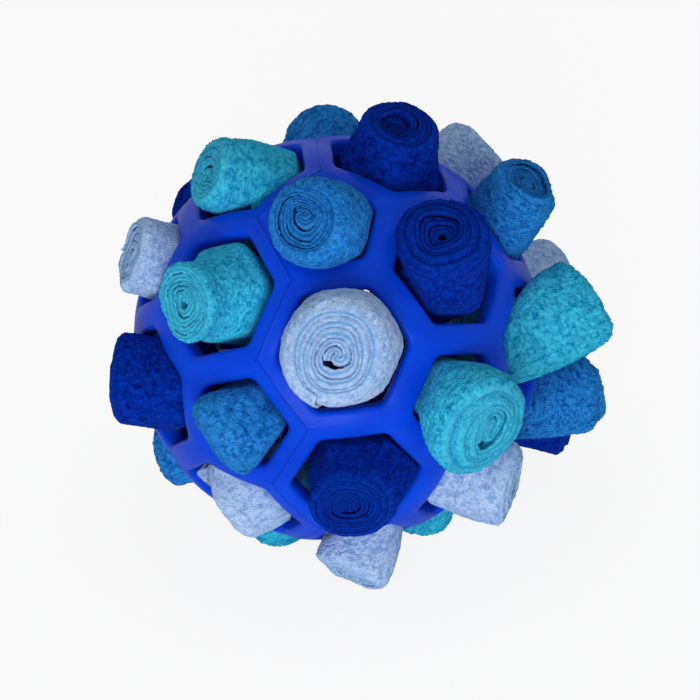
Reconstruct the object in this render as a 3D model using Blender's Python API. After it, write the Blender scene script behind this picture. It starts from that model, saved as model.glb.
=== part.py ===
"""Snuffle ball for a pet: a moulded rubber lattice ball whose 32 holes each hold a rolled strip of fleece.

The lattice is a truncated icosahedron blown up to a sphere: 12 five-sided and 20 six-sided holes between
struts of one width. Each strip is rolled up like a carpet and pushed into a hole, where the rubber grips
its neck. Outside the neck the soft roll leans over, and inside it tapers towards the hollow middle.
The ball rests on three short rolls whose ends lie flat on the table. Metres, +Z up, table at Z = 0.
"""

import itertools
import math
from collections import namedtuple

import bmesh
import bpy
from mathutils import Matrix, Vector

# Rubber lattice ball
LATTICE_RADIUS = 0.057          # ball centre to the outside of the struts
WALL_DEPTH = 0.0058             # radial thickness of a strut
STRUT_WIDTH = 0.0084            # across a strut, on the outside
STRUT_INNER_WIDTH = 0.0066      # across a strut, on the inside
STRUT_EDGE = 0.0013             # rounding of a strut's outer edges
STRUT_CROWN = 0.0003            # how far a strut's middle line stands above its edges
HOLE_FILLET = 0.0035            # corner radius of a hole

# Where the ball stands
TABLE_CLEARANCE = 0.0030        # table to the lowest strut, with the feet under it
BALL_OFFSET_X = -0.0041         # the longer rolls are on the right, so the ball is left of the middle
BALL_OFFSET_Y = 0.0007

# Fleece rolls
ROLL_RADIUS = 0.0120            # a typical roll at its outer end
ROLL_LENGTH = 0.0140            # a typical length outside the neck
ROLL_INNER_RADIUS = 0.0082      # every roll at its inner end, where it is squeezed most
ROLL_DEPTH = 0.0190             # inner end of a roll below the outside of the ball
NECK_GAP = 0.0003               # roll to rubber at the neck
FLOOR_FEET = 3                  # the lowest rolls, which the ball stands on

# How a strip winds, as shares of the roll's radius or of the pitch of its turns
WINDING_STEPS = 22
STEPS_PER_TURN = 8
CORE_SHARE = 0.30               # outside of the first turn
STRIP_SHARE = 0.75              # thickness of the strip, of the pitch

# How the meshes are made
MERGE_DISTANCE = 0.00001
NEIGHBOUR_SHARE = 1.5           # corners nearer than this share of an edge of the icosahedron are neighbours

MATERIALS = {
    # slot: (base colour, roughness)
    "lattice_rubber": ((0.000, 0.030, 0.560), 0.38),
    "fleece_navy": ((0.003, 0.010, 0.150), 0.95),
    "fleece_mid_blue": ((0.012, 0.120, 0.440), 0.95),
    "fleece_aqua": ((0.015, 0.380, 0.600), 0.95),
    "fleece_light_blue": ((0.360, 0.520, 0.800), 0.95),
}

# One roll for each hole, from the top down, and from left to right at one height.
# length and radius are shares of ROLL_LENGTH and ROLL_RADIUS. Round and up are the lean in degrees,
# round the ball anticlockwise seen from above, and towards its top. Loose is about where the strip's
# outer end lies, in degrees from round towards up; it lies in the nearest corner of the hole.
Roll = namedtuple("Roll", "colour length_share radius_share round up loose")
ROLLS = [
    Roll("mid_blue", 1.28, 1.06, -26, -22, 80),
    Roll("aqua", 1.08, 1.02, 40, -32, 100),
    Roll("navy", 0.84, 1.20, -8, 12, 270),
    Roll("mid_blue", 0.68, 0.97, -5, 1, 60),
    Roll("aqua", 1.02, 1.08, 0, -18, 20),
    Roll("navy", 1.50, 1.15, -30, 36, 100),
    Roll("light_blue", 1.24, 1.18, -18, 5, 60),
    Roll("light_blue", 0.76, 1.04, 7, -12, 200),
    Roll("mid_blue", 1.20, 1.04, -10, 29, 320),
    Roll("navy", 0.78, 1.10, 0, 7, 90),
    Roll("light_blue", 1.40, 1.08, 2, 4, 40),
    Roll("mid_blue", 0.82, 1.01, -20, 0, 300),
    Roll("aqua", 1.28, 1.30, -18, 1, 150),
    Roll("aqua", 1.00, 1.05, 12, -10, 240),
    Roll("navy", 1.00, 1.20, -20, 13, 120),
    Roll("aqua", 1.60, 1.10, 26, 30, 70),
    Roll("aqua", 0.12, 1.16, 0, 0, 30),
    Roll("light_blue", 1.50, 1.08, -1, 10, 180),
    Roll("navy", 1.05, 1.02, -13, 24, 40),
    Roll("mid_blue", 0.95, 1.00, -16, 12, 330),
    Roll("navy", 1.05, 1.02, 12, 18, 140),
    Roll("light_blue", 0.38, 1.16, 10, -3, 110),
    Roll("light_blue", 1.03, 1.02, 4, 22, 80),
    Roll("mid_blue", 0.58, 1.00, -11, 20, 250),
    Roll("mid_blue", 1.80, 1.08, 0, 39, 350),
    Roll("light_blue", 1.05, 1.08, -10, 8, 20),
    Roll("navy", 0.66, 1.04, 8, 14, 160),
    Roll("navy", 2.15, 1.10, -50, 4, 220),
    Roll("light_blue", 0.94, 0.98, -34, -4, 130),
    Roll("aqua", 0.45, 0.98, -6, -18, 310),
    Roll("aqua", 0.45, 1.05, 0, -12, 50),
    Roll("mid_blue", 0.45, 0.98, 0, -8, 190),
]

# A hole's centre and corners are unit vectors, reach is the angle from its centre to the middle of a side
Hole = namedtuple("Hole", "centre corners reach")


def clear_scene():
    for obj in list(bpy.data.objects):
        bpy.data.objects.remove(obj)


def make_material(slot):
    colour, roughness = MATERIALS[slot]
    material = bpy.data.materials.new(slot)
    material.use_nodes = True
    shader = material.node_tree.nodes["Principled BSDF"]
    shader.inputs["Base Color"].default_value = (*colour, 1.0)
    shader.inputs["Roughness"].default_value = roughness
    material.diffuse_color = (*colour, 1.0)
    return material


def add_object(name, mesh_builder, material, smooth_angle):
    """A linked object from a bmesh, shaded smooth across edges flatter than smooth_angle."""
    mesh = bpy.data.meshes.new(name)
    mesh_builder.to_mesh(mesh)
    mesh_builder.free()
    mesh.materials.append(material)
    mesh.shade_smooth()
    mesh.set_sharp_from_angle(angle=math.radians(smooth_angle))
    obj = bpy.data.objects.new(name, mesh)
    bpy.context.scene.collection.objects.link(obj)
    return obj


def tangents(direction):
    """Unit vectors round the ball, anticlockwise from above, and up it, at a direction from its centre."""
    across = Vector((0, 0, 1)).cross(direction).normalized()
    return across, direction.cross(across)


def icosahedron():
    """Corners of an icosahedron, turned about X so that a junction of the lattice points straight up."""
    golden = (1 + math.sqrt(5)) / 2
    signs = list(itertools.product((1, -1), repeat=2))
    corners = [Vector((0, s, t * golden)) for s, t in signs]
    corners += [Vector((s, t * golden, 0)) for s, t in signs]
    corners += [Vector((t * golden, 0, s)) for s, t in signs]
    stand = Matrix.Rotation(-math.atan2(1, 3 * golden), 3, "X")
    return [stand @ corner for corner in corners]


def flat_angle(centre, point):
    """Which way a point lies from a hole's centre, as an angle from round towards up."""
    across, up = tangents(centre)
    return math.atan2(point.dot(up), point.dot(across))


def lattice_holes():
    """The 32 holes of a truncated icosahedron, from the top down and left to right."""
    corners = icosahedron()
    edge = min((a - b).length for a, b in itertools.combinations(corners, 2))

    def joined(a, b):
        return a is not b and (a - b).length < NEIGHBOUR_SHARE * edge

    def junction(a, b):
        return ((2 * a + b) / 3).normalized()

    rings = [(a, [junction(a, b) for b in corners if joined(a, b)]) for a in corners]
    for trio in itertools.combinations(corners, 3):
        if all(joined(a, b) for a, b in itertools.combinations(trio, 2)):
            rings.append((sum(trio, Vector()), [junction(a, b) for a, b in itertools.permutations(trio, 2)]))
    holes = []
    for middle, ring in rings:
        centre = middle.normalized()
        ordered = sorted(ring, key=lambda point: flat_angle(centre, point))
        side_middle = (ordered[0] + ordered[1]).normalized()
        holes.append(Hole(centre, ordered, centre.angle(side_middle)))
    return sorted(holes, key=lambda hole: (-round(hole.centre.z, 4), hole.centre.x))


def crown_loop(hole, radius):
    """Points on the middle lines of the struts round a hole: each junction, and one on each side of it."""
    count = len(hole.corners)
    points = []
    for i, corner in enumerate(hole.corners):
        before, after = hole.corners[i - 1], hole.corners[(i + 1) % count]
        strut_length = radius * corner.angle(after)
        share = (STRUT_WIDTH / 2 + HOLE_FILLET) / math.tan(math.radians(60)) / strut_length
        points += [corner.lerp(before, share), corner, corner.lerp(after, share)]
    return [radius * point.normalized() for point in points]


def rim_loop(hole, radius, inset):
    """Points round a hole at a radius, inset from the struts' middle lines, three to a rounded corner."""
    count = len(hole.corners)
    half_corner = math.pi / 2 - math.pi / count
    scale = math.tan(hole.reach - inset / radius) / math.tan(hole.reach)
    corners = [hole.centre + scale * (c / c.dot(hole.centre) - hole.centre) for c in hole.corners]
    fillet = HOLE_FILLET / radius
    points = []
    for i, corner in enumerate(corners):
        before, after = corners[i - 1], corners[(i + 1) % count]
        run = fillet / math.tan(half_corner)
        cut = fillet * (1 / math.sin(half_corner) - 1)
        points.append(corner + run * (before - corner).normalized())
        points.append(corner + cut * (hole.centre - corner).normalized())
        points.append(corner + run * (after - corner).normalized())
    return [radius * point.normalized() for point in points]


def make_lattice(holes, ball_centre, material):
    """The one-piece rubber ball: rings of faces round each hole, which meet on the struts' middle lines."""
    inner_radius = LATTICE_RADIUS - WALL_DEPTH
    mesh = bmesh.new()
    for hole in holes:
        loops = [
            crown_loop(hole, LATTICE_RADIUS),
            rim_loop(hole, LATTICE_RADIUS - STRUT_CROWN, STRUT_WIDTH / 2 - STRUT_EDGE),
            rim_loop(hole, LATTICE_RADIUS - STRUT_CROWN - STRUT_EDGE, STRUT_WIDTH / 2),
            rim_loop(hole, inner_radius, STRUT_INNER_WIDTH / 2),
            crown_loop(hole, inner_radius),
        ]
        rows = [[mesh.verts.new(point) for point in loop] for loop in loops]
        for row, below in zip(rows, rows[1:]):
            for i in range(len(row)):
                mesh.faces.new((row[i - 1], row[i], below[i], below[i - 1]))
    bmesh.ops.remove_doubles(mesh, verts=mesh.verts, dist=MERGE_DISTANCE)
    bmesh.ops.recalc_face_normals(mesh, faces=mesh.faces)
    lattice = add_object("lattice_ball", mesh, material, 75)
    lattice.location = ball_centre
    return lattice


def strip_section(roll, hole):
    """The rolled strip seen end-on, for a roll of radius 1: points on its outer and its inner side."""
    corner_angles = [flat_angle(hole.centre, corner) for corner in hole.corners]
    wanted = math.radians(roll.loose)
    loose = min(corner_angles, key=lambda angle: abs(math.remainder(angle - wanted, math.tau)))
    pitch = (1 - CORE_SHARE) * STEPS_PER_TURN / WINDING_STEPS
    sides = []
    for step in range(WINDING_STEPS + 1):
        angle = loose - math.tau * (WINDING_STEPS - step) / STEPS_PER_TURN
        spoke = Vector((math.cos(angle), math.sin(angle), 0))
        outer = CORE_SHARE + (1 - CORE_SHARE) * step / WINDING_STEPS
        sides.append((outer * spoke, (outer - STRIP_SHARE * pitch) * spoke))
    return sides


def neck_of(hole, section):
    """Height from the ball's centre and radius of a roll's neck, which just clears the sides of its hole."""
    rim_radius = LATTICE_RADIUS - STRUT_CROWN - STRUT_EDGE
    rim_angle = hole.reach - STRUT_WIDTH / 2 / rim_radius
    furthest_share = 0
    for i, corner in enumerate(hole.corners):
        angle = flat_angle(hole.centre, hole.corners[i - 1] + corner)
        to_side = Vector((math.cos(angle), math.sin(angle), 0))
        furthest_share = max(furthest_share, max(outer.dot(to_side) for outer, _ in section))
    room = rim_radius * math.sin(rim_angle) - NECK_GAP
    return rim_radius * math.cos(rim_angle), room / furthest_share


def roll_rings(roll, hole):
    """The strip's points at the inner end, the neck and the outer end, along the hole's axis as Z."""
    section = strip_section(roll, hole)
    neck_height, neck_radius = neck_of(hole, section)
    neck = Vector((0, 0, neck_height - LATTICE_RADIUS))
    lean = Vector((math.tan(math.radians(roll.round)), math.tan(math.radians(roll.up)), 1)).normalized()
    tip = neck + roll.length_share * ROLL_LENGTH * lean
    upright = Matrix.Identity(3)
    leaning = Vector((0, 0, 1)).rotation_difference(lean).to_matrix()
    stations = [
        (Vector((0, 0, -ROLL_DEPTH)), upright, ROLL_INNER_RADIUS),
        (neck, upright, neck_radius),
        (tip, leaning, roll.radius_share * ROLL_RADIUS),
    ]
    rings = [
        [[centre + turn @ (radius * point) for point in side] for side in zip(*section)]
        for centre, turn, radius in stations
    ]
    return rings, lean


def flatten_on_table(rings, lean, place):
    """Slides the outer end's points along the roll until they lie on the table."""
    run = place.to_3x3() @ lean
    for side in rings[-1]:
        for i, point in enumerate(side):
            world = place @ point
            side[i] = place.inverted() @ (world - run * (world.z / run.z))


def turn_gap(rings):
    """The least distance between neighbouring turns of a strip, measured on its points."""
    least = math.inf
    for outer, inner in rings:
        for i in range(len(outer) - STEPS_PER_TURN):
            for j in (i + STEPS_PER_TURN - 1, i + STEPS_PER_TURN):
                if j + 1 < len(inner):
                    a, b = inner[j], inner[j + 1]
                    share = min(max((outer[i] - a).dot(b - a) / (b - a).length_squared, 0), 1)
                    least = min(least, (outer[i] - a.lerp(b, share)).length)
    return least


def make_roll(name, roll, hole, ball_centre, material, foot):
    """A rolled strip of fleece, its origin on the axis of its hole and its Z along the way it pulls out."""
    across, up = tangents(hole.centre)
    turn = Matrix((across, up, hole.centre)).transposed().to_4x4()
    place = Matrix.Translation(ball_centre + LATTICE_RADIUS * hole.centre) @ turn
    rings, lean = roll_rings(roll, hole)
    if foot:
        flatten_on_table(rings, lean, place)
    mesh = bmesh.new()
    grid = [[[mesh.verts.new(point) for point in side] for side in ring] for ring in rings]
    inner_end, outer_end = grid[0], grid[-1]
    for i in range(WINDING_STEPS):
        for (out_a, in_a), (out_b, in_b) in zip(grid, grid[1:]):
            mesh.faces.new((out_a[i], out_a[i + 1], out_b[i + 1], out_b[i]))
            mesh.faces.new((in_a[i + 1], in_a[i], in_b[i], in_b[i + 1]))
        mesh.faces.new((outer_end[0][i], outer_end[0][i + 1], outer_end[1][i + 1], outer_end[1][i]))
        mesh.faces.new((inner_end[1][i], inner_end[1][i + 1], inner_end[0][i + 1], inner_end[0][i]))
    for (out_a, in_a), (out_b, in_b) in zip(grid, grid[1:]):
        mesh.faces.new((in_a[0], out_a[0], out_b[0], in_b[0]))
        mesh.faces.new((out_a[-1], in_a[-1], in_b[-1], out_b[-1]))
    bmesh.ops.recalc_face_normals(mesh, faces=mesh.faces)
    obj = add_object(name, mesh, material, 60)
    obj.matrix_world = place
    return turn_gap(rings)


def make_rolls(holes, ball_centre, materials):
    """Every roll, named by its colour and its place from the top."""
    counts = dict.fromkeys(MATERIALS, 0)
    gaps = []
    for number, (roll, hole) in enumerate(zip(ROLLS, holes)):
        slot = "fleece_" + roll.colour
        counts[slot] += 1
        name = f"{roll.colour}_roll_{counts[slot]}"
        foot = number >= len(ROLLS) - FLOOR_FEET
        gaps.append(make_roll(name, roll, hole, ball_centre, materials[slot], foot))
    print(f"least gap between two turns of a fleece strip: {min(gaps) * 1000:.2f} mm")


def main():
    clear_scene()
    materials = {slot: make_material(slot) for slot in MATERIALS}
    holes = lattice_holes()
    ball_centre = Vector((BALL_OFFSET_X, BALL_OFFSET_Y, LATTICE_RADIUS + TABLE_CLEARANCE))
    make_lattice(holes, ball_centre, materials["lattice_rubber"])
    make_rolls(holes, ball_centre, materials)


main()
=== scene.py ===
"""Looks of the snuffle ball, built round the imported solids: a rubber lattice and 32 rolled fleece strips.

The lattice is rebuilt with round strut edges, moulded corners and the low ridge where the mould's halves met.
Each strip is rolled up turn by turn, squeezed into its hole, and gets its nubs, soft cut edges and loose end.
Metres, +Z up, table at Z = 0, as in the solids.
"""

import itertools
import math
from collections import namedtuple

import bpy
import numpy as np
from mathutils import Matrix, Vector, noise


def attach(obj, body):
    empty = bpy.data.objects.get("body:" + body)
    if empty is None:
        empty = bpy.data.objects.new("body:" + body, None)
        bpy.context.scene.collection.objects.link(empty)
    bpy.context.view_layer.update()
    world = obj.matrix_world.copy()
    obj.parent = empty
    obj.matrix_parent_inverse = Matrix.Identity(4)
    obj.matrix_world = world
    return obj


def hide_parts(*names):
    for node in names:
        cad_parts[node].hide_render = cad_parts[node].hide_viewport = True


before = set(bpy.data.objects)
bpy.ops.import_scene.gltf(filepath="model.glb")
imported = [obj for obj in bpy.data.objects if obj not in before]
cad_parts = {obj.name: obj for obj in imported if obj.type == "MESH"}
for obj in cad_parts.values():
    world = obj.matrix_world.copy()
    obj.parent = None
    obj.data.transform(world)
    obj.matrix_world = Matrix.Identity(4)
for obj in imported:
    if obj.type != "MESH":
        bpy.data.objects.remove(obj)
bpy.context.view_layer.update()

# The ball's driving sizes, as in the solids
MM = 0.001
LATTICE_RADIUS = 0.057
WALL_DEPTH = 0.0058
STRUT_WIDTH = 0.0084
STRUT_INNER_WIDTH = 0.0066
STRUT_EDGE = 0.0013
STRUT_CROWN = 0.0003
HOLE_FILLET = 0.0035
BALL_CENTRE = Vector((-0.0041, 0.0007, 0.0600))
ROLL_RADIUS = 0.0120
ROLL_LENGTH = 0.0140
ROLL_DEPTH = 0.0190
FLOOR_FEET = 3
NEIGHBOUR_SHARE = 1.5           # corners nearer than this share of an edge of the icosahedron are neighbours
HALF_CORNER = math.radians(60)  # about, from a strut to the line that halves a hole's corner

# Moulding of the rubber
CORNER_POINTS = 7               # points round a hole's rounded corner
SIDE_POINTS = 4                 # points along a hole's straight side
EDGE_STEPS = 4                  # steps round a strut's outer edge
INNER_EDGE = 0.0006             # rounding of a strut's inner edges
RIDGE_HEIGHT = 0.00018          # where the mould's two halves met
RIDGE_WIDTH = 0.0004
MOULD_PLANE = (0.93, -0.36, 0.02)
CROWN_SHARES = (0, RIDGE_WIDTH / (STRUT_WIDTH / 2), 0.30, 0.55, 0.80)   # rows over half of a strut's face
WALL_SHARES = (0.4, 0.8)        # rows down a strut's wall
INNER_STEPS = 2                 # steps round a strut's inner edge
MERGE_STEP = 0.000002           # points that round to the same step are one
SAME_CORNER = 0.0001            # two holes' corners nearer than this, as unit vectors, are the same
MOULD_DRIFT = 0.00012           # how far the moulding is off its true shape
MOULD_DRIFT_SIZE = 0.016        # and over which length that changes
MOULD_DRIFT_START = Vector((3, 5, 7))

# Cloth of the strips
NECK_GAP = 0.0004               # roll to rubber at the neck
TIP_SHARE = 0.93                # widest radius near a roll's end, of the radius to its solid's loose end
TIP_FILLET = 0.0016             # rounding of a roll where its side turns over into its end
FILLET_END = 0.995              # share of a quarter circle that the rounding covers
INNER_RADII = {5: 0.0098, 6: 0.0122}    # of a roll inside the ball, for the number of sides of its hole
STRIP_FILL = 0.99               # thickness of a strip, as a share of the pitch of its turns
CORE_THIN = 0.16                # how much thinner a strip is in the middle of its roll
CORE_REACH = 2.4                # how far that goes outwards, in turns
CORE_SLOT = 0.50                # how far the turns stand off the middle of a strip that was folded over there
SLOT_REACH = 1.8                # how far that goes outwards, in turns
FINE_STEP = 0.00048             # mesh steps along the outer turn, and on the end of a roll
COARSE_STEP = 0.00065           # along the turns inside
DEEP_STEPS = 4                  # stations between the inner end and the neck
END_DEPTH = 0.0040              # how far down from its end a roll's inner turns are meshed finely
EDGE_SHARES = (0.96, 0.82, 0.6, 0.36, 0.14, 0)      # across half of a strip's cut edge, from its side
EDGE_POWER = 3                  # how square the cut edge is
EDGE_ROUND = 0.0007             # how far the cut edge's sides lie below its middle
KNIT_GROOVE = 0.00012           # depth of the knit base between the two layers of pile, in the cut edge
KNIT_WIDTH = 0.25               # width of that groove, as a share of half the strip's thickness
KNIT_COLOUR_WIDTH = 0.3         # and of its darker line
LOOSE_TAPER = 0.0130            # length over which a strip thins at its loose end
OPENING_UP = 2.4                # how soon above its neck a roll reaches the width of its end
FOOT_REACH = 1.15               # how far the feet would reach without the table, as a share of their length
FOOT_SQUASH = 0.0012            # how deep the table squashes them
CORNER_POWER = 10               # how square a roll is where a hole squeezes it
BELOW_NECK, ABOVE_NECK, CUT_EDGE = 0, 1, 2      # the zones of a strip's cut section
LINE_POINTS = 1200              # points along a strip's middle line, before it is cut into even steps
CORE_POINTS = 110               # points along the half of an s-shaped core
TURN_START = 0.42               # where a plain curl begins, in turns
SPARE_TURN = 0.1                # room in the middle of a roll, in turns
CORE_TURN = 1.15                # half turns in the inner half of an s-shaped core
EVEN_TURNS = (2.2, 1.0)         # turns from the middle over which the steps fade into an even spiral
HOLLOW_START = (0.06, 0.3)      # part of a turn over which the hollow beside an s-shaped core opens
STEP_START = 0.4                # part of a turn before the step
STEP_SHARE = 0.2                # how much of a turn's way inwards it makes in one step, under the loose end
FINE_TURNS = 1.15               # turns from the loose end inwards that have the fine steps
WARP = 0.20                     # how far the middle of a roll is out of round, as a share of its radius
WARP_FINENESS = 1.3             # bends in that, across a roll's radius
LOOSE_THIN = 0.35               # thickness of the loose end, of the strip's
LEAST_ROWS = 6                  # on a roll outside its neck
MOST_END_SHARE = 0.8            # of a short roll that is meshed finely
COARSE_ROW = 0.003              # height of a row on the inner turns
WAVE_SIZE = 0.007               # length of the waves in a strip's edge
FREE_HEIGHT = 0.003             # how far out of the hole the nubs stand up fully
NECK_NUBS = 0.35                # height of the nubs in the hole, of their height outside
DRIFT = 0.0006                  # how far a roll is off its true shape
DRIFT_SIZE = 0.011              # and over which length that changes

NOISE_SEED = 7                  # noise vectors are the same each run only where a seed is set

# The photo's camera: its right, up and back, how far it is from the ball, and how far off the ball's middle
CAMERA_AXES = (
    (0.99285228, -0.09082786, -0.0774251),
    (0.11612621, 0.5854236, 0.80236769),
    (-0.02755086, -0.80562367, 0.59178666),
)
CAMERA_DISTANCE = 1.028
CAMERA_SHIFT = (0.00363, -0.00325)
CAMERA_SENSOR = 36              # millimetres, as the lens
CAMERA_LENS = 188.3
CAMERA_CLIP = (0.05, 20)

# The studio
WORLD_STRENGTH = 0.54
LAMPS = [
    # name, direction from the ball, distance, width, watts
    ("key", (-0.15, -0.95, 0.16), 1.0, 0.5, 5.6),
    ("top", (0.25, -0.2, 1.0), 1.1, 0.8, 0.3),
]
FLOOR_SIZE = 3.0                # half of its width
FLOOR_DROP = 0.0001             # below the feet
FLOOR_COLOUR = (0.90, 0.90, 0.90, 1)
FLOOR_WHITE = 0.88              # how much of plain white is in the floor that the camera sees

# Shape of the nubs, as shares of their own size
NUB_BEND = 0.6
NUB_BEND_FINENESS = 0.7
NUB_STEEPNESS = 1.7
NUB_ROUGHNESS = 0.5
NUB_ROUGHNESS_FINENESS = 2.3
NUB_SEED_STEP = 7.3

# colour: height, length and width of a nub, in metres
NUBS = {
    "mid_blue": (0.00046, 0.0014, 0.00095),
    "aqua": (0.00052, 0.0016, 0.00100),
    "light_blue": (0.00036, 0.0013, 0.00095),
    "navy": (0.00024, 0.0013, 0.00100),
}

# colour: the cloth between the nubs, with painted shade, on them, with painted light, on its cut edge, and in
# the knit base there
FLEECE = {
    "mid_blue": ((0.0, 0.055, 0.29), (0.03, 0.295, 0.8), (0.022, 0.22, 0.64), (0.0, 0.045, 0.23)),
    "aqua": ((0.0, 0.19, 0.44), (0.055, 0.62, 0.86), (0.1, 0.59, 0.79), (0.0, 0.23, 0.48)),
    "light_blue": ((0.16, 0.33, 0.69), (0.52, 0.7, 0.99), (0.36, 0.58, 0.9), (0.06, 0.29, 0.64)),
    "navy": ((0.0, 0.004, 0.11), (0.001, 0.04, 0.46), (0.001, 0.045, 0.4), (0.0, 0.003, 0.09)),
}

# Textures of the fleece: scale, detail, roughness and distortion of each noise
FIBRES = (2000, 3.0, 0.7)
SPECKS = (950, 2.0, 0.6, 1.2)
PATCHES = (240, 2.0)
# The nubs' share paints shade between the nubs and light on their tips; fibres, specks and patches give the
# cloth's own mottled tone.
PILE_SHARES = (0.50, 0.50, 0.75, 0.20)  # of the nubs, fibres, specks and patches in how pale the pile is
PILE_RANGE = (0.79, 1.17)       # their sum where the colour is darkest and palest
CUT_SHARE = 0.35                # how much of its own colour the cut edge has
KNIT_SHARE = 0.7                # and the knit base in it
FLEECE_BUMP = 0.00045

# The rubber: its two blues, and the darker line of the mould
RUBBER = ((0.0003, 0.044, 0.58), (0.0006, 0.06, 0.7))
RUBBER_RIDGE = (0.0, 0.012, 0.25)
RIDGE_SHARE = 0.75
RUBBER_ROUGHNESS = (0.30, 0.42)
MOTTLE = (90, 3.0)
SCUFF = (700, 4.0, 0.7)
RUBBER_BUMP = 0.0002

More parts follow.
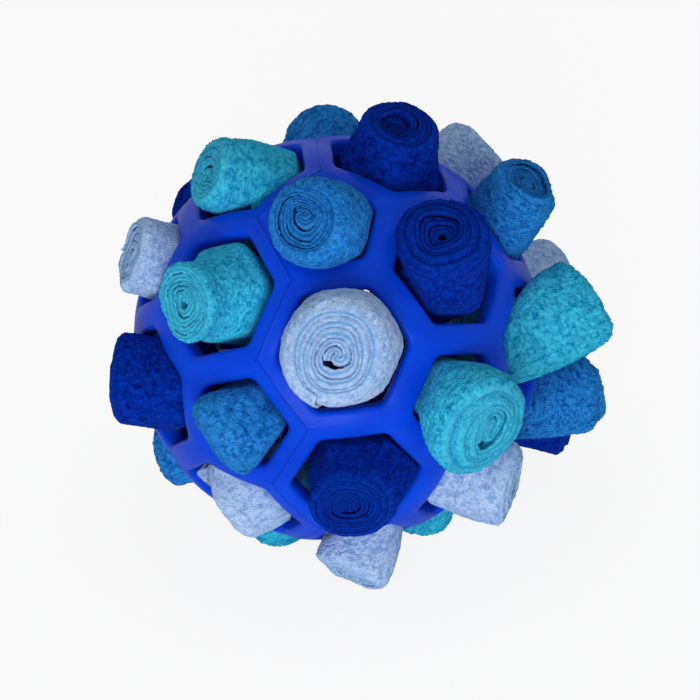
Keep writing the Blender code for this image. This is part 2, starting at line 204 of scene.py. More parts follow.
# One roll for each hole, from the top down, and from left to right at one height, the order of the solids.
# length and radius are shares of ROLL_LENGTH and ROLL_RADIUS. round and up: the lean in degrees. loose:
# about where the strip's outer end lies, in degrees from round towards up.
# turns: of the strip. core: s for a strip folded over at its middle, o for a plain curl.
# squash and at: how oval the end is, and which way it is longer, in degrees. ends: the height of the cut
# edge in millimetres at the loose end and at each turn inwards from it. fill and shift: how much of the
# hole the neck takes up, and where it lies in it, in millimetres. swell: of the middle. wave: of the edge,
# in millimetres. slope: of the end, round the ball and up it, in degrees.
Roll = namedtuple("Roll", "colour length_share radius_share round up loose "
                          "turns core squash at ends fill shift swell wave slope")
ROLLS = [
    Roll("mid_blue", 1.28, 1.06, -25, -27, 80,
         5.4, "s", 1.00, 0, (0.4, 0.3, -0.7, -0.6, -0.5), 1.0, (0.4, 0), 0.20, 0.2, (0, 0)),
    Roll("aqua", 1.16, 0.99, 46, -18, 249,
         5.0, "s", 1.05, 90, (-0.4, -0.2, 0, 0), 1.0, (0, 0), 0.12, 0.3, (13, 10)),
    Roll("navy", 1.22, 1.07, -17, 16, 320,
         5.0, "s", 1.08, 10, (-0.6, 0, 0, -2.2, -2.6), 1.0, (0, 0), 0.06, 0.3, (0, 0)),
    Roll("mid_blue", 0.74, 1.00, -26, -35, 288,
         5.0, "o", 1.04, 20, (-0.6, 0, 0), 0.98, (-0.6, 0), 0.04, 0.3, (-24, 0)),
    Roll("aqua", 1.02, 1.12, 3, -26, 213,
         5.4, "o", 1.10, 90, (-0.2, -0.1, 0, 0, -0.3), 0.94, (0, 0.2), -0.12, 0.4, (0, 0)),
    Roll("navy", 1.50, 1.22, -25, 36, 46,
         5.2, "o", 1.04, 90, (-2.4, -1.6, -0.2, -2.0, -2.2), 0.94, (-0.3, 1.0), 0.0, 0.3, (0, 0)),
    Roll("light_blue", 1.24, 1.27, -8, 0, 250,
         5.6, "s", 1.08, 60, (-0.6, -0.4, 0, -0.2, -0.2), 1.0, (1.3, 0.6), 0.20, 0.3, (0, 0)),
    Roll("light_blue", 0.70, 1.04, 9, 1, 216,
         5.0, "o", 1.05, 90, (0.6, 0, -0.6, 0, 0), 0.98, (0, 0), 0.02, 0.7, (0, 2)),
    Roll("mid_blue", 1.42, 1.00, -12, 24, 320,
         5.8, "s", 1.12, 150, (-3.0, 0, -1.2, -1.4, -1.0), 1.0, (0, 0), 0.05, 0.3, (0, 0)),
    Roll("navy", 0.50, 1.00, -10, -8, 238,
         5.0, "o", 1.04, 0, (-0.6, 0, 0), 0.98, (0, 0), 0.02, 0.3, (0, 0)),
    Roll("light_blue", 1.40, 1.14, -37, 3, 299,
         5.0, "s", 1.08, 60, (-0.8, 0, 0.3, 0), 0.98, (0, 0), 0.02, 0.5, (-18, 4)),
    Roll("mid_blue", 0.86, 1.06, -26, -20, 300,
         5.0, "o", 1.20, 80, (-1.6, -0.6, 0, -1.2, -1.6), 1.0, (0.8, -0.4), 0.15, 0.3, (10, 11)),
    Roll("aqua", 1.30, 1.40, -4, -16, 303,
         4.8, "s", 1.05, 110, (-3.6, -1.6, -0.2, -1.2), 1.0, (0, 0), 0.14, 0.6, (0, 0)),
    Roll("aqua", 1.00, 1.05, 12, -10, 252,
         5.0, "o", 1.05, 40, (-0.6, 0, 0), 0.98, (0, 0), 0.03, 0.3, (0, 0)),
    Roll("navy", 1.00, 1.24, -30, 10, 217,
         5.0, "s", 1.06, 90, (-1.2, -0.6, 0, 0), 0.98, (0, 0), 0.03, 0.6, (0, 9)),
    Roll("aqua", 1.74, 1.24, 49, 17, 313,
         5.0, "s", 1.16, 80, (-0.8, 0, -0.8, -1.2), 0.84, (0, 2.5), 0.04, 0.6, (0, -2)),
    Roll("aqua", 0.12, 1.16, 0, 0, 217,
         5.0, "o", 1.00, 0, (-0.3, 0, 0), 0.98, (0, 0), 0.0, 0.2, (0, 0)),
    Roll("light_blue", 1.42, 1.00, 19, -5, 316,
         5.0, "o", 1.06, 0, (-0.8, 0, 0), 0.90, (0, 0), 0.03, 0.4, (0, 0)),
    Roll("navy", 1.05, 1.10, -12, 15, 40,
         6.0, "s", 1.08, 20, (-1.0, -0.4, 0, -0.6, -0.8), 0.96, (1.2, 0.6), 0.03, 0.5, (0, 0)),
    Roll("mid_blue", 0.95, 1.00, -16, 12, 248,
         5.0, "s", 1.05, 0, (-0.8, 0, 0), 1.0, (0, 0), 0.04, 0.3, (0, 0)),
    Roll("navy", 1.05, 1.02, 12, 18, 292,
         5.0, "o", 1.08, 30, (-0.8, 0, -0.4), 1.0, (0, 0), 0.03, 0.3, (0, 0)),
    Roll("light_blue", 0.42, 1.12, -34, 8, 236,
         5.0, "s", 1.04, 0, (-0.4, -0.2, 0), 0.98, (0, 0), 0.08, 0.2, (6, 11)),
    Roll("light_blue", 1.06, 1.12, 27, 17, 310,
         4.4, "o", 1.12, 60, (-1.4, -0.6, 0, -0.6), 0.92, (0.6, 0), 0.03, 0.3, (0, 0)),
    Roll("mid_blue", 0.42, 1.00, -24, 8, 225,
         5.0, "o", 1.04, 0, (-0.6, 0, 0), 1.0, (0, 0), 0.04, 0.4, (0, 0)),
    Roll("mid_blue", 1.98, 1.05, 19, 32, 321,
         5.0, "s", 1.12, 80, (-4.6, -0.6, -0.2, -0.8), 0.86, (1.5, 1.0), 0.03, 0.3, (0, 0)),
    Roll("light_blue", 1.05, 1.08, -10, 8, 305,
         5.0, "s", 1.05, 50, (-0.8, 0, 0), 0.98, (-0.3, 0.3), 0.03, 0.4, (0, 0)),
    Roll("navy", 0.66, 1.04, 8, 14, 199,
         5.0, "o", 1.04, 0, (-0.6, 0, -0.8), 0.98, (0, 0), 0.02, 0.3, (0, 0)),
    Roll("navy", 2.90, 1.04, -56, 15, 353,
         5.0, "s", 1.08, 70, (-1.2, 0, -0.6), 0.98, (0, 0), 0.02, 0.4, (0, 0)),
    Roll("light_blue", 0.98, 1.02, -15, 6, 268,
         5.0, "o", 1.08, 0, (-0.8, 0.4, -0.4, 0.2), 1.0, (1.8, 0), 0.03, 0.8, (15, 0)),
    Roll("aqua", 0.56, 1.12, -38, 6, 246,
         5.0, "s", 1.00, 0, (0, 0), 0.98, (0, 0), 0.04, 0, (0, 0)),
    Roll("aqua", 0.56, 1.12, -10, -36, 343,
         5.0, "o", 1.00, 0, (0, 0), 0.98, (0, 0), 0.04, 0, (0, 0)),
    Roll("mid_blue", 0.45, 0.98, 0, -8, 92,
         5.0, "s", 1.00, 0, (0, 0), 1.0, (0, 0), 0.04, 0, (0, 0)),
]

# A hole's centre and corners are unit vectors, reach is the angle from its centre to the middle of a side
Hole = namedtuple("Hole", "centre corners reach")


def smooth(values, low, high):
    """0 below low, 1 above high, and an even S between."""
    share = np.clip((np.asarray(values, float) - low) / (high - low), 0, 1)
    return share * share * (3 - 2 * share)


def tangents(direction):
    """Unit vectors round the ball, anticlockwise from above, and up it, at a direction from its centre."""
    across = Vector((0, 0, 1)).cross(direction).normalized()
    return across, direction.cross(across)


def flat_angle(centre, point):
    """Which way a point lies from a hole's centre, as an angle from round towards up."""
    across, up = tangents(centre)
    return math.atan2(point.dot(up), point.dot(across))


def lattice_holes():
    """The 32 holes of a truncated icosahedron, from the top down and left to right."""
    golden = (1 + math.sqrt(5)) / 2
    signs = list(itertools.product((1, -1), repeat=2))
    corners = [Vector((0, s, t * golden)) for s, t in signs]
    corners += [Vector((s, t * golden, 0)) for s, t in signs]
    corners += [Vector((t * golden, 0, s)) for s, t in signs]
    stand = Matrix.Rotation(-math.atan2(1, 3 * golden), 3, "X")
    corners = [stand @ corner for corner in corners]
    edge = min((a - b).length for a, b in itertools.combinations(corners, 2))

    def joined(a, b):
        return a is not b and (a - b).length < NEIGHBOUR_SHARE * edge

    def junction(a, b):
        return ((2 * a + b) / 3).normalized()

    rings = [(a, [junction(a, b) for b in corners if joined(a, b)]) for a in corners]
    for trio in itertools.combinations(corners, 3):
        if all(joined(a, b) for a, b in itertools.combinations(trio, 2)):
            rings.append((sum(trio, Vector()), [junction(a, b) for a, b in itertools.permutations(trio, 2)]))
    holes = []
    for middle, ring in rings:
        centre = middle.normalized()
        ordered = sorted(ring, key=lambda point: flat_angle(centre, point))
        side_middle = (ordered[0] + ordered[1]).normalized()
        holes.append(Hole(centre, ordered, centre.angle(side_middle)))
    return sorted(holes, key=lambda hole: (-round(hole.centre.z, 4), hole.centre.x))


def make_mesh(name, points, faces, material):
    mesh = bpy.data.meshes.new(name)
    mesh.from_pydata(points, [], faces)
    mesh.materials.append(material)
    mesh.shade_smooth()
    obj = bpy.data.objects.new(name, mesh)
    bpy.context.scene.collection.objects.link(obj)
    return obj


def set_attribute(obj, name, values):
    attribute = obj.data.attributes.new(name, "FLOAT", "POINT")
    attribute.data.foreach_set("value", np.asarray(values, np.float32))


# The rubber lattice


def crown_loop(hole):
    """Unit vectors on the middle lines of the struts round a hole, as many as rim_loop gives."""
    count = len(hole.corners)
    half = CORNER_POINTS // 2
    points = []
    for i, corner in enumerate(hole.corners):
        before, after = hole.corners[i - 1], hole.corners[(i + 1) % count]
        strut_length = LATTICE_RADIUS * corner.angle(after)
        share = (STRUT_WIDTH / 2 + HOLE_FILLET) / math.tan(HALF_CORNER) / strut_length
        points += [corner.lerp(before, share * (half - k) / half) for k in range(half)]
        points += [corner.lerp(after, share * k / half) for k in range(half + 1)]
        points += [
            corner.lerp(after, share + (1 - 2 * share) * k / (SIDE_POINTS + 1))
            for k in range(1, SIDE_POINTS + 1)
        ]
    return [point.normalized() for point in points]


def rim_loop(hole, inset, radius):
    """Unit vectors round a hole, inset from the struts' middle lines, with rounded corners."""
    count = len(hole.corners)
    half_corner = math.pi / 2 - math.pi / count
    scale = math.tan(hole.reach - inset / radius) / math.tan(hole.reach)
    corners = [hole.centre + scale * (c / c.dot(hole.centre) - hole.centre) for c in hole.corners]
    fillet = HOLE_FILLET / radius
    run = fillet / math.tan(half_corner)
    points = []
    for i, corner in enumerate(corners):
        before, after = corners[i - 1], corners[(i + 1) % count]
        first = corner + run * (before - corner).normalized()
        last = corner + run * (after - corner).normalized()
        middle = corner + fillet / math.sin(half_corner) * (hole.centre - corner).normalized()
        a, b = first - middle, last - middle
        angle = a.angle(b)
        for k in range(CORNER_POINTS):
            share = k / (CORNER_POINTS - 1)
            turned = math.sin((1 - share) * angle) * a + math.sin(share * angle) * b
            points.append(middle + turned / math.sin(angle))
        start_next = after + run * (corner - after).normalized()
        points += [last.lerp(start_next, k / (SIDE_POINTS + 1)) for k in range(1, SIDE_POINTS + 1)]
    return [point.normalized() for point in points]


def strut_rows(hole):
    """Rows of points from the middle line of the struts, over their edge and down the wall, to the inside."""
    crown = crown_loop(hole)
    half = STRUT_WIDTH / 2
    inner = LATTICE_RADIUS - WALL_DEPTH
    rim = rim_loop(hole, half - STRUT_EDGE, LATTICE_RADIUS)
    rows = []
    for share in CROWN_SHARES:
        height = LATTICE_RADIUS - STRUT_CROWN * share ** 2
        rows.append([height * a.lerp(b, share).normalized() for a, b in zip(crown, rim)])
    for k in range(EDGE_STEPS + 1):
        turn = math.pi / 2 * k / EDGE_STEPS
        height = LATTICE_RADIUS - STRUT_CROWN - STRUT_EDGE * (1 - math.cos(turn))
        row = rim_loop(hole, half - STRUT_EDGE * (1 - math.sin(turn)), height)
        rows.append([height * point for point in row])
    half_inner = STRUT_INNER_WIDTH / 2
    wall_top = LATTICE_RADIUS - STRUT_CROWN - STRUT_EDGE
    for share in WALL_SHARES:
        height = wall_top + share * (inner + INNER_EDGE - wall_top)
        rows.append([height * p for p in rim_loop(hole, half + share * (half_inner - half), height)])
    for k in range(1, INNER_STEPS + 1):
        turn = math.pi / 2 * k / INNER_STEPS
        height = inner + INNER_EDGE * (1 - math.sin(turn))
        inset = half_inner - INNER_EDGE * (1 - math.cos(turn))
        rows.append([height * p for p in rim_loop(hole, inset, height)])
    rows.append([inner * p for p in crown])
    return rows


def make_lattice(holes, material):
    points, faces, index = [], [], {}

    def number(point):
        key = tuple(round(x / MERGE_STEP) for x in point)
        if key not in index:
            index[key] = len(points)
            points.append(point)
        return index[key]

    for hole in holes:
        rows = [[number(point) for point in row] for row in strut_rows(hole)]
        for row, below in zip(rows, rows[1:]):
            for i in range(len(row)):
                faces.append((row[i - 1], row[i], below[i], below[i - 1]))
    plane = Vector(MOULD_PLANE).normalized()
    side = [hole.centre.dot(plane) > 0 for hole in holes]
    seam = {}
    for a, b in itertools.combinations(range(len(holes)), 2):
        if side[a] != side[b]:
            pairs = itertools.product(holes[a].corners, holes[b].corners)
            shared = [corner for corner, other in pairs if (corner - other).length < SAME_CORNER]
            if len(shared) == 2:
                seam[a, b] = shared
    shaped, ridge = [], []
    for point in points:
        direction = point.normalized()
        share = 0
        if point.length > LATTICE_RADIUS - RIDGE_HEIGHT:
            nearest = min(arc_distance(direction, *ends) for ends in seam.values()) * LATTICE_RADIUS
            share = max(0, 1 - nearest / (RIDGE_WIDTH / 2))
        raised = point + RIDGE_HEIGHT * share * direction
        drift = noise.noise_vector(raised / MOULD_DRIFT_SIZE + MOULD_DRIFT_START) * MOULD_DRIFT
        shaped.append(BALL_CENTRE + raised + drift)
        ridge.append(share)
    lattice = make_mesh("rubber_lattice", shaped, faces, material)
    set_attribute(lattice, "ridge", ridge)
    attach(lattice, "ball")
    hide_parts("lattice_ball")


def arc_distance(direction, a, b):
    """Angle from a direction to the arc from a to b."""
    normal = a.cross(b).normalized()
    along = (direction - direction.dot(normal) * normal).normalized()
    inside = a.cross(along).dot(normal) > 0 and along.cross(b).dot(normal) > 0
    if inside:
        return abs(math.asin(max(-1, min(1, direction.dot(normal)))))
    return min(direction.angle(a), direction.angle(b))


# The fleece rolls


def spiral(roll, start):
    """Middle line of a rolled strip of outer radius 1, seen end-on, ending at angle start.

    Returns its points, and for each how many turns it lies in from the loose end. A turn mostly keeps its
    radius and steps inwards under the turn outside it, so that the roll stays round."""
    pitch = 1 / (roll.turns + SPARE_TURN)
    edge = 1 - pitch * STRIP_FILL / 2
    folded = roll.core == "s"
    last = math.tau * (edge / pitch - (1 if folded else TURN_START))
    alpha = np.linspace(0, last, LINE_POINTS)
    turns = (last - alpha) / math.tau
    part = turns % 1
    stepped = np.floor(turns) + (1 - STEP_SHARE) * part + STEP_SHARE * smooth(part, STEP_START, 1)
    inwards = turns + (stepped - turns) * (1 - smooth(turns, *(turns[0] - np.array(EVEN_TURNS))))
    radii = edge - pitch * inwards
    angles = alpha
    if folded:
        around = alpha / math.tau % 1
        sunk = (1 - around) * smooth(around, *HOLLOW_START)
        hollow = pitch * sunk * (last - alpha) / (last - math.tau)
        radii = np.where(alpha < math.tau, pitch * alpha / math.pi, radii - hollow)
        tail = np.linspace(CORE_TURN * math.pi, 0, CORE_POINTS)[:-1]
        angles = np.concatenate([tail + math.pi, alpha])
        radii = np.concatenate([pitch * tail / math.pi, radii])
        turns = np.concatenate([np.full(len(tail), last / math.tau), turns])
    x, y = radii * np.cos(angles), radii * np.sin(angles)
    if folded:
        y = y * (1 + CORE_SLOT * np.exp(-(radii / (SLOT_REACH * pitch)) ** 2))
    across, up = math.cos(start - last), math.sin(start - last)
    return np.stack([x * across - y * up, x * up + y * across], 1), turns, pitch


def resample(points, turns, radius):
    """Even steps along a strip's middle line, finer in its outer turn. Also gives the length so far."""
    steps = np.linalg.norm(np.diff(points, axis=0), axis=1) * radius
    length = np.concatenate([[0], np.cumsum(steps)])
    split = np.interp(-FINE_TURNS, -turns, length)
    inner = np.arange(0, split, COARSE_STEP)
    outer = np.linspace(split, length[-1], int((length[-1] - split) / FINE_STEP))
    wanted = np.concatenate([inner, outer])
    x, y = (np.interp(wanted, length, points[:, axis]) for axis in (0, 1))
    return np.stack([x, y], 1), np.interp(wanted, length, turns), wanted, len(inner)


def warp(points, seed, amount):
    """Bends the end-on picture of a roll a little, the same way for neighbouring turns, not its outside."""
    moved = []
    for x, y in points:
        push = noise.noise_vector(Vector((WARP_FINENESS * x, WARP_FINENESS * y, seed)))
        free = amount * max(0, 1 - x * x - y * y)
        moved.append((x + free * push.x, y + free * push.y))
    return np.array(moved)


def hole_outline(hole, angles, inradius):
    """Radius of a hole at each angle, with rounded corners."""
    total = 0
    for i, corner in enumerate(hole.corners):
        side = flat_angle(hole.centre, hole.corners[i - 1] + corner)
        total = total + np.maximum(np.cos(angles - side), 0) ** CORNER_POWER
    return inradius * total ** (-1 / CORNER_POWER)


def section_stations(length):
    """Stations round a strip's cut section, from the inner end up its outer side, over the cut edge and down
    its inner side: (zone, share, across, kept). Share is how far up its zone a station is. Across goes from
    1 on the outer side to -1 on the inner. The inner turns only have the kept ones."""
    up = [(BELOW_NECK, k / DEEP_STEPS, 1.0, True) for k in range(DEEP_STEPS)]
    count = max(int(length / FINE_STEP), LEAST_ROWS)
    fine_from = 1 - min(END_DEPTH / length, MOST_END_SHARE)
    every = max(int(COARSE_ROW / FINE_STEP), 1)
    for k in range(count):
        share = k / count
        up.append((ABOVE_NECK, share, 1.0, share >= fine_from or k % every == 0))
    across = list(EDGE_SHARES) + [-share for share in reversed(EDGE_SHARES[:-1])]
    over = [(CUT_EDGE, (1 - abs(x) ** EDGE_POWER) ** (1 / EDGE_POWER), x, True) for x in across]
    down = [(zone, share, -1.0, kept) for zone, share, _, kept in reversed(up) if kept]
    return up + over + down


def roll_shape(roll, hole, seed, foot):
    """Points of a roll's strip in the frame of its hole, as a table of steps along the strip by stations."""
    corner_angles = [flat_angle(hole.centre, corner) for corner in hole.corners]
    wanted = math.radians(roll.loose)
    start = min(corner_angles, key=lambda angle: abs(math.remainder(angle - wanted, math.tau)))
    tip_radius = TIP_SHARE * roll.radius_share * ROLL_RADIUS
    line, turns, pitch = spiral(roll, start)
    line, turns, length, first_fine = resample(line, turns, tip_radius)
    ahead = np.gradient(line, axis=0)
    ahead /= np.linalg.norm(ahead, axis=1)[:, None]
    outward = np.stack([ahead[:, 1], -ahead[:, 0]], 1)
    core = np.exp(-(np.linalg.norm(line, axis=1) / (CORE_REACH * pitch)) ** 2)
    half = pitch * STRIP_FILL / 2 * (1 - CORE_THIN * core)
    thin = LOOSE_THIN + (1 - LOOSE_THIN) * smooth(length[-1] - length, 0, LOOSE_TAPER)
    middle = line - outward * (half * (1 - thin))[:, None]
    half = half * thin

    rim_radius = LATTICE_RADIUS - STRUT_CROWN - STRUT_EDGE
    rim_angle = hole.reach - STRUT_WIDTH / 2 / rim_radius
    neck_height = rim_radius * math.cos(rim_angle) - LATTICE_RADIUS
    neck_inradius = roll.fill * (rim_radius * math.sin(rim_angle) - NECK_GAP)
    lean = Vector((math.tan(math.radians(roll.round)), math.tan(math.radians(roll.up)), 1)).normalized()
    out_length = roll.length_share * ROLL_LENGTH
    turn = np.array(Vector((0, 0, 1)).rotation_difference(lean).to_matrix())
    lean = np.array(lean)
    neck = np.array((roll.shift[0] * MM, roll.shift[1] * MM, neck_height))
    tip = np.array((0, 0, neck_height)) + out_length * lean
    base = np.array((0, 0, -ROLL_DEPTH))
    inner_radius = INNER_RADII[len(hole.corners)]
    long_way = math.radians(roll.at)
    stretch = math.sqrt(roll.squash)

    lift = np.interp(turns, range(len(roll.ends)), roll.ends) * MM
    wave = [noise.noise(Vector((x / WAVE_SIZE, seed, 1))) for x in length]
    slope = [tip_radius * math.tan(math.radians(angle)) for angle in roll.slope]
    lift = lift + np.array(wave) * roll.wave * MM + line @ slope

    table, around, stations = [], [], section_stations(out_length)
    reach = 0
    before = None
    for zone, share, across, _ in stations:
        spot = warp(middle + outward * (half * across)[:, None], seed, WARP)
        angle = np.arctan2(spot[:, 1], spot[:, 0])
        flat = np.concatenate([spot, np.zeros((len(spot), 1))], 1)
        neck_spread = flat * hole_outline(hole, angle, neck_inradius)[:, None]
        if zone == BELOW_NECK:
            points = (1 - share) * (base + flat * inner_radius) + share * (neck + neck_spread)
        else:
            along, aside = np.cos(angle - long_way) / stretch, np.sin(angle - long_way) * stretch
            oval = (along ** 2 + aside ** 2) ** -0.5
            tip_spread = (flat * (tip_radius * oval)[:, None]) @ turn.T
            top = 1 + (lift - EDGE_ROUND) / out_length
            if foot:
                top = np.full(len(flat), FOOT_REACH)
            climb = top * share
            if zone == CUT_EDGE:
                over = EDGE_ROUND * share - KNIT_GROOVE * math.exp(-(across / KNIT_WIDTH) ** 2)
                climb = top + over / out_length * (not foot)
            fillet = np.clip((climb - top) * out_length / TIP_FILLET + 1, 0, FILLET_END)
            close_in = TIP_FILLET / tip_radius * (1 - np.sqrt(1 - fillet ** 2))
            bow = 4 * climb * (1 - climb)
            opened = (1 - np.clip(1 - climb, 0, 1) ** OPENING_UP)[:, None]
            spread = (1 - opened) * neck_spread + opened * tip_spread
            widened = spread * (1 + roll.swell * bow - close_in)[:, None]
            points = neck + climb[:, None] * (tip - neck) + widened
        table.append(points)
        if before is not None:
            reach = reach + np.linalg.norm(points - before, axis=1).mean()
        around.append(reach)
        before = points
    return np.array(table), np.array(around), stations, length, first_fine


def strip_faces(stations, first_fine, count):
    """Faces of a strip, whose inner turns leave out the stations that aren't kept."""
    kept = [k for k, station in enumerate(stations) if station[3]]
    ring = kept + [kept[0]]
    faces = []

    def number(k, step):
        return k * count + step

    for step in range(count - 1):
        fine = step >= first_fine
        for a, b in zip(ring, ring[1:]):
            between = list(range(a, b + 1)) if b > a else [a, b]
            if fine:
                for c, d in zip(between, between[1:]):
                    faces.append((number(c, step), number(d, step), number(d, step + 1), number(c, step + 1)))
            elif step == first_fine - 1:
                far = [number(c, step + 1) for c in reversed(between)]
                faces.append((number(a, step), number(b, step), *far))
            else:
                faces.append((number(a, step), number(b, step), number(b, step + 1), number(a, step + 1)))
    up = [k for k, (zone, _, across, _) in enumerate(stations) if zone < CUT_EDGE and across > 0]
    down = [k for k, (zone, _, across, _) in enumerate(stations) if zone < CUT_EDGE and across < 0]
    over = [k for k, station in enumerate(stations) if station[0] == CUT_EDGE]
    up_kept = [k for k in up if stations[k][3]]
    for step, flip, use_all in ((0, True, False), (count - 1, False, True)):
        back = down[::-1]
        for a, b, c, d in zip(up_kept, up_kept[1:], back, back[1:]):
            between = [k for k in up if a <= k <= b] if use_all else [a, b]
            face = [number(k, step) for k in between] + [number(d, step), number(c, step)]
            faces.append(tuple(reversed(face)) if flip else tuple(face))
        last_up = [k for k in up if k >= up_kept[-1]] if use_all else [up_kept[-1]]
        face = [number(k, step) for k in last_up + over + [down[0]]]
        faces.append(tuple(reversed(face)) if flip else tuple(face))
    return faces


def nub_height(along, across, size, seed):
    """Height of the fleece's nubs, from -1 to 1, at a place in the strip's own cloth."""
    _, nub_length, nub_width = size
    place = Vector((along / nub_length, across / nub_width, seed))
    bend = noise.noise_vector(place * NUB_BEND_FINENESS) * NUB_BEND
    distances, _ = noise.voronoi(place + Vector((bend.x, bend.y, 0)))
    return 1 - NUB_STEEPNESS * distances[0] + NUB_ROUGHNESS * noise.noise(place * NUB_ROUGHNESS_FINENESS)


def make_roll(name, roll, hole, material, seed, foot):
    table, around, stations, length, first_fine = roll_shape(roll, hole, seed, foot)
    across, up = tangents(hole.centre)
    turn = np.array((across, up, hole.centre))
    origin = np.array(BALL_CENTRE + LATTICE_RADIUS * hole.centre)
    count = table.shape[1]
    points = table.reshape(-1, 3) @ turn + origin
    faces = strip_faces(stations, first_fine, count)
    used = sorted({k for face in faces for k in face})
    renumber = dict(zip(used, range(len(used))))
    points = points[used]
    obj = make_mesh(name, points, [tuple(renumber[k] for k in face) for face in faces], material)

    normals = np.zeros(len(points) * 3)
    obj.data.vertices.foreach_get("normal", normals)
    normals = normals.reshape(-1, 3)
    size = NUBS[roll.colour]
    zones = np.array([station[0] for station in stations])
    nubs, knit, cut = (np.zeros(len(used)) for _ in range(3))
    outside = np.zeros(len(used))
    for i, k in enumerate(used):
        station, step = divmod(k, count)
        outside[i] = zones[station] > BELOW_NECK
        if outside[i]:
            nubs[i] = nub_height(length[step], around[station], size, seed * NUB_SEED_STEP)
        if zones[station] == CUT_EDGE:
            knit[i] = math.exp(-(stations[station][2] / KNIT_COLOUR_WIDTH) ** 2)
            cut[i] = 1
    depth = np.linalg.norm(points - np.array(BALL_CENTRE), axis=1) - LATTICE_RADIUS
    free = smooth(depth, 0, FREE_HEIGHT)
    drift = np.array([noise.noise_vector(Vector(p) / DRIFT_SIZE + Vector((seed, 0, 0))) for p in points])
    nub_share = (NECK_NUBS + (1 - NECK_NUBS) * free) * outside
    points = points + normals * (nubs * size[0] * nub_share)[:, None]
    points = points + drift * (DRIFT * free)[:, None]
    low = points[:, 2] < FOOT_SQUASH
    points[low, 2] = FOOT_SQUASH * np.exp(points[low, 2] / FOOT_SQUASH - 1)
    if foot:
        points[:, 2] -= points[:, 2].min() * (points[:, 2] < 2 * FOOT_SQUASH)
    obj.data.vertices.foreach_set("co", points.ravel())
    obj.data.update()
    # The nub height also drives the fleece's painted shade between the nubs and painted light on their tips.
    set_attribute(obj, "nub", 0.5 + 0.5 * nubs)
    set_attribute(obj, "knit", knit)
    set_attribute(obj, "cut", cut)
    return obj, length[-1]


def make_rolls(holes, materials):
    counts = dict.fromkeys(FLEECE, 0)
    for number, (roll, hole) in enumerate(zip(ROLLS, holes)):
        counts[roll.colour] += 1
        node = f"{roll.colour}_roll_{counts[roll.colour]}"
        foot = number >= len(ROLLS) - FLOOR_FEET
        name = f"{roll.colour}_strip_{counts[roll.colour]}"
        strip, length = make_roll(name, roll, hole, materials[roll.colour], number + 1, foot)
        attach(strip, node)
        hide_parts(node)


# Materials


def new_material(name):
    material = bpy.data.materials.new(name)
    material.use_nodes = True
    tree = material.node_tree
    return material, tree, tree.nodes["Principled BSDF"]


def add_node(tree, kind, **settings):
    node = tree.nodes.new(kind)
    for key, value in settings.items():
        setattr(node, key, value)
    return node


def attribute_of(tree, name):
    return add_node(tree, "ShaderNodeAttribute", attribute_name=name).outputs["Fac"]


def noise_of(tree, scale, detail=2.0, roughness=0.5, distortion=0.0):
    place = add_node(tree, "ShaderNodeTexCoord")
    texture = add_node(tree, "ShaderNodeTexNoise")
    texture.inputs["Scale"].default_value = scale
    texture.inputs["Detail"].default_value = detail
    texture.inputs["Roughness"].default_value = roughness
    texture.inputs["Distortion"].default_value = distortion
    tree.links.new(place.outputs["Object"], texture.inputs["Vector"])
    return texture.outputs["Fac"]


def math_of(tree, operation, *values, clamp=False):
    node = add_node(tree, "ShaderNodeMath", operation=operation, use_clamp=clamp)
    for socket, value in zip(node.inputs, values):
        if hasattr(value, "links"):
            tree.links.new(value, socket)
        else:
            socket.default_value = value
    return node.outputs[0]


def weighted_sum(tree, parts):
    """The sum of values, each times its share."""
    total = None
    for value, share in parts:
        term = math_of(tree, "MULTIPLY", value, share)
        total = term if total is None else math_of(tree, "ADD", total, term)
    return total


def mix_colour(tree, share, a, b):
    node = add_node(tree, "ShaderNodeMix", data_type="RGBA")
    for socket, value in zip((node.inputs[0], node.inputs[6], node.inputs[7]), (share, a, b)):
        if hasattr(value, "links"):
            tree.links.new(value, socket)
        elif isinstance(value, tuple):
            socket.default_value = (*value, 1)
        else:
            socket.default_value = value
    return node.outputs[2]


def map_of(tree, value, low, high, to_low=0.0, to_high=1.0):
    node = add_node(tree, "ShaderNodeMapRange")
    tree.links.new(value, node.inputs[0])
    for socket, number in zip(node.inputs[1:5], (low, high, to_low, to_high)):
        socket.default_value = number
    return node.outputs[0]


def bump_of(tree, height, strength, distance):
    bump = add_node(tree, "ShaderNodeBump")
    bump.inputs["Strength"].default_value = strength
    bump.inputs["Distance"].default_value = distance
    tree.links.new(height, bump.inputs["Height"])
    return bump.outputs["Normal"]


def set_sheen(shader, weight, roughness, tint):
    shader.inputs["Sheen Weight"].default_value = weight
    shader.inputs["Sheen Roughness"].default_value = roughness
    shader.inputs["Sheen Tint"].default_value = (*tint, 1)


def fleece_material(colour):
    """Polar fleece: darker between its nubs as painted shade and paler on their tips as painted light, with
    noise for the cloth's own mottled tone; paler also on its cut edge, but for the knit base.
    """
    deep_with_painted_shade, tips_with_painted_light, edge, base = FLEECE[colour]
    material, tree, shader = new_material("fleece_" + colour)
    nub, knit, cut = (attribute_of(tree, name) for name in ("nub", "knit", "cut"))
    fibres, specks, patches = (noise_of(tree, *texture) for texture in (FIBRES, SPECKS, PATCHES))
    height = weighted_sum(tree, zip((nub, fibres, specks, patches), PILE_SHARES))
    # Painted shade between the nubs and painted light on their tips, from their height, mixed with the
    # cloth's own mottled tone.
    colour_out = mix_colour(tree, map_of(tree, height, *PILE_RANGE), deep_with_painted_shade, tips_with_painted_light)
    colour_out = mix_colour(tree, math_of(tree, "MULTIPLY", cut, CUT_SHARE), colour_out, edge)
    colour_out = mix_colour(tree, math_of(tree, "MULTIPLY", knit, KNIT_SHARE), colour_out, base)
    tree.links.new(colour_out, shader.inputs["Base Color"])
    shader.inputs["Roughness"].default_value = 1.0
    shader.inputs["Specular IOR Level"].default_value = 0.0
    set_sheen(shader, 0.45, 0.45, [0.02 + 0.90 * value for value in tips_with_painted_light])
    height = math_of(tree, "ADD", fibres, specks)
    tree.links.new(bump_of(tree, height, 1.0, FLEECE_BUMP), shader.inputs["Normal"])
    return material


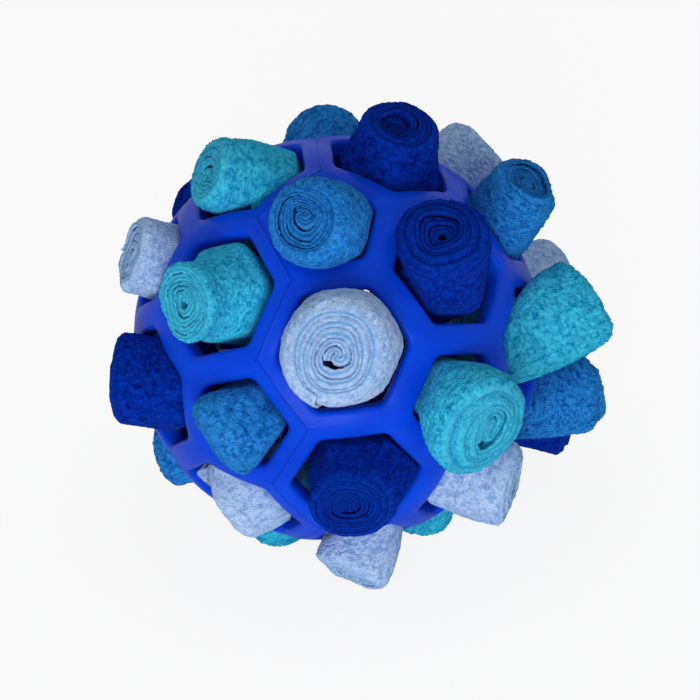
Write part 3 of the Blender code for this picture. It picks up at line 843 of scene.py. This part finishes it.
def rubber_material():
    """Royal blue moulded rubber, semi-gloss, with faint mottling and scuffs."""
    material, tree, shader = new_material("lattice_rubber")
    mottle, scuff = (noise_of(tree, *texture) for texture in (MOTTLE, SCUFF))
    colour = mix_colour(tree, map_of(tree, mottle, 0.3, 0.7), *RUBBER)
    ridge = attribute_of(tree, "ridge")
    colour = mix_colour(tree, math_of(tree, "MULTIPLY", ridge, RIDGE_SHARE), colour, RUBBER_RIDGE)
    tree.links.new(colour, shader.inputs["Base Color"])
    tree.links.new(map_of(tree, scuff, 0.3, 0.75, *RUBBER_ROUGHNESS), shader.inputs["Roughness"])
    shader.inputs["Specular IOR Level"].default_value = 0.07
    set_sheen(shader, 0.07, 0.2, (0.75, 0.65, 0.95))
    height = weighted_sum(tree, ((mottle, 2.0), (scuff, 0.25)))
    tree.links.new(bump_of(tree, height, 0.25, RUBBER_BUMP), shader.inputs["Normal"])
    return material


# Stage


def white_for_camera(tree, strength, output):
    """Makes a strength 1 for the camera and for reflections, and strength for the light on the object."""
    path = add_node(tree, "ShaderNodeLightPath")
    seen = math_of(tree, "ADD", path.outputs["Is Camera Ray"], path.outputs["Is Glossy Ray"], clamp=True)
    seen = math_of(tree, "ADD", seen, path.outputs["Is Transmission Ray"], clamp=True)
    value = map_of(tree, seen, 0, 1, strength, 1.0)
    tree.links.new(value, output)


def make_world():
    world = bpy.data.worlds.new("studio")
    world.use_nodes = True
    background = world.node_tree.nodes["Background"]
    background.inputs["Color"].default_value = (1, 1, 1, 1)
    white_for_camera(world.node_tree, WORLD_STRENGTH, background.inputs["Strength"])
    bpy.context.scene.world = world


def make_floor():
    corners = [(x * FLOOR_SIZE, y * FLOOR_SIZE, -FLOOR_DROP) for x, y in ((-1, -1), (1, -1), (1, 1), (-1, 1))]
    material, tree, shader = new_material("floor")
    shader.inputs["Base Color"].default_value = FLOOR_COLOUR
    shader.inputs["Roughness"].default_value = 1.0
    shader.inputs["Specular IOR Level"].default_value = 0.0
    white = add_node(tree, "ShaderNodeEmission")
    mix = add_node(tree, "ShaderNodeMixShader")
    path = add_node(tree, "ShaderNodeLightPath")
    tree.links.new(math_of(tree, "MULTIPLY", path.outputs["Is Camera Ray"], FLOOR_WHITE), mix.inputs[0])
    tree.links.new(shader.outputs[0], mix.inputs[1])
    tree.links.new(white.outputs[0], mix.inputs[2])
    tree.links.new(mix.outputs[0], tree.nodes["Material Output"].inputs["Surface"])
    make_mesh("floor", corners, [(0, 1, 2, 3)], material)


def make_light(name, direction, distance, size, power):
    data = bpy.data.lights.new(name, "AREA")
    data.shape, data.size, data.energy = "DISK", size, power
    lamp = bpy.data.objects.new(name, data)
    bpy.context.scene.collection.objects.link(lamp)
    back = Vector(direction).normalized()
    lamp.location = BALL_CENTRE + distance * back
    lamp.rotation_mode = "QUATERNION"
    lamp.rotation_quaternion = (-back).to_track_quat("-Z", "Y")


def make_camera():
    right, up, back = (Vector(axis) for axis in CAMERA_AXES)
    data = bpy.data.cameras.new("photo_camera")
    data.sensor_width = CAMERA_SENSOR
    data.lens = CAMERA_LENS
    camera = bpy.data.objects.new("photo_camera", data)
    bpy.context.scene.collection.objects.link(camera)
    place = BALL_CENTRE + CAMERA_DISTANCE * back + CAMERA_SHIFT[0] * right + CAMERA_SHIFT[1] * up
    camera.matrix_world = Matrix.Translation(place) @ Matrix((right, up, back)).transposed().to_4x4()
    data.clip_start, data.clip_end = CAMERA_CLIP
    bpy.context.scene.camera = camera


def main():
    noise.seed_set(NOISE_SEED)
    holes = lattice_holes()
    make_lattice(holes, rubber_material())
    make_rolls(holes, {colour: fleece_material(colour) for colour in FLEECE})
    make_world()
    make_floor()
    for lamp in LAMPS:
        make_light(*lamp)
    make_camera()
    bpy.context.scene.view_settings.view_transform = "Standard"
    bpy.context.view_layer.update()


main()
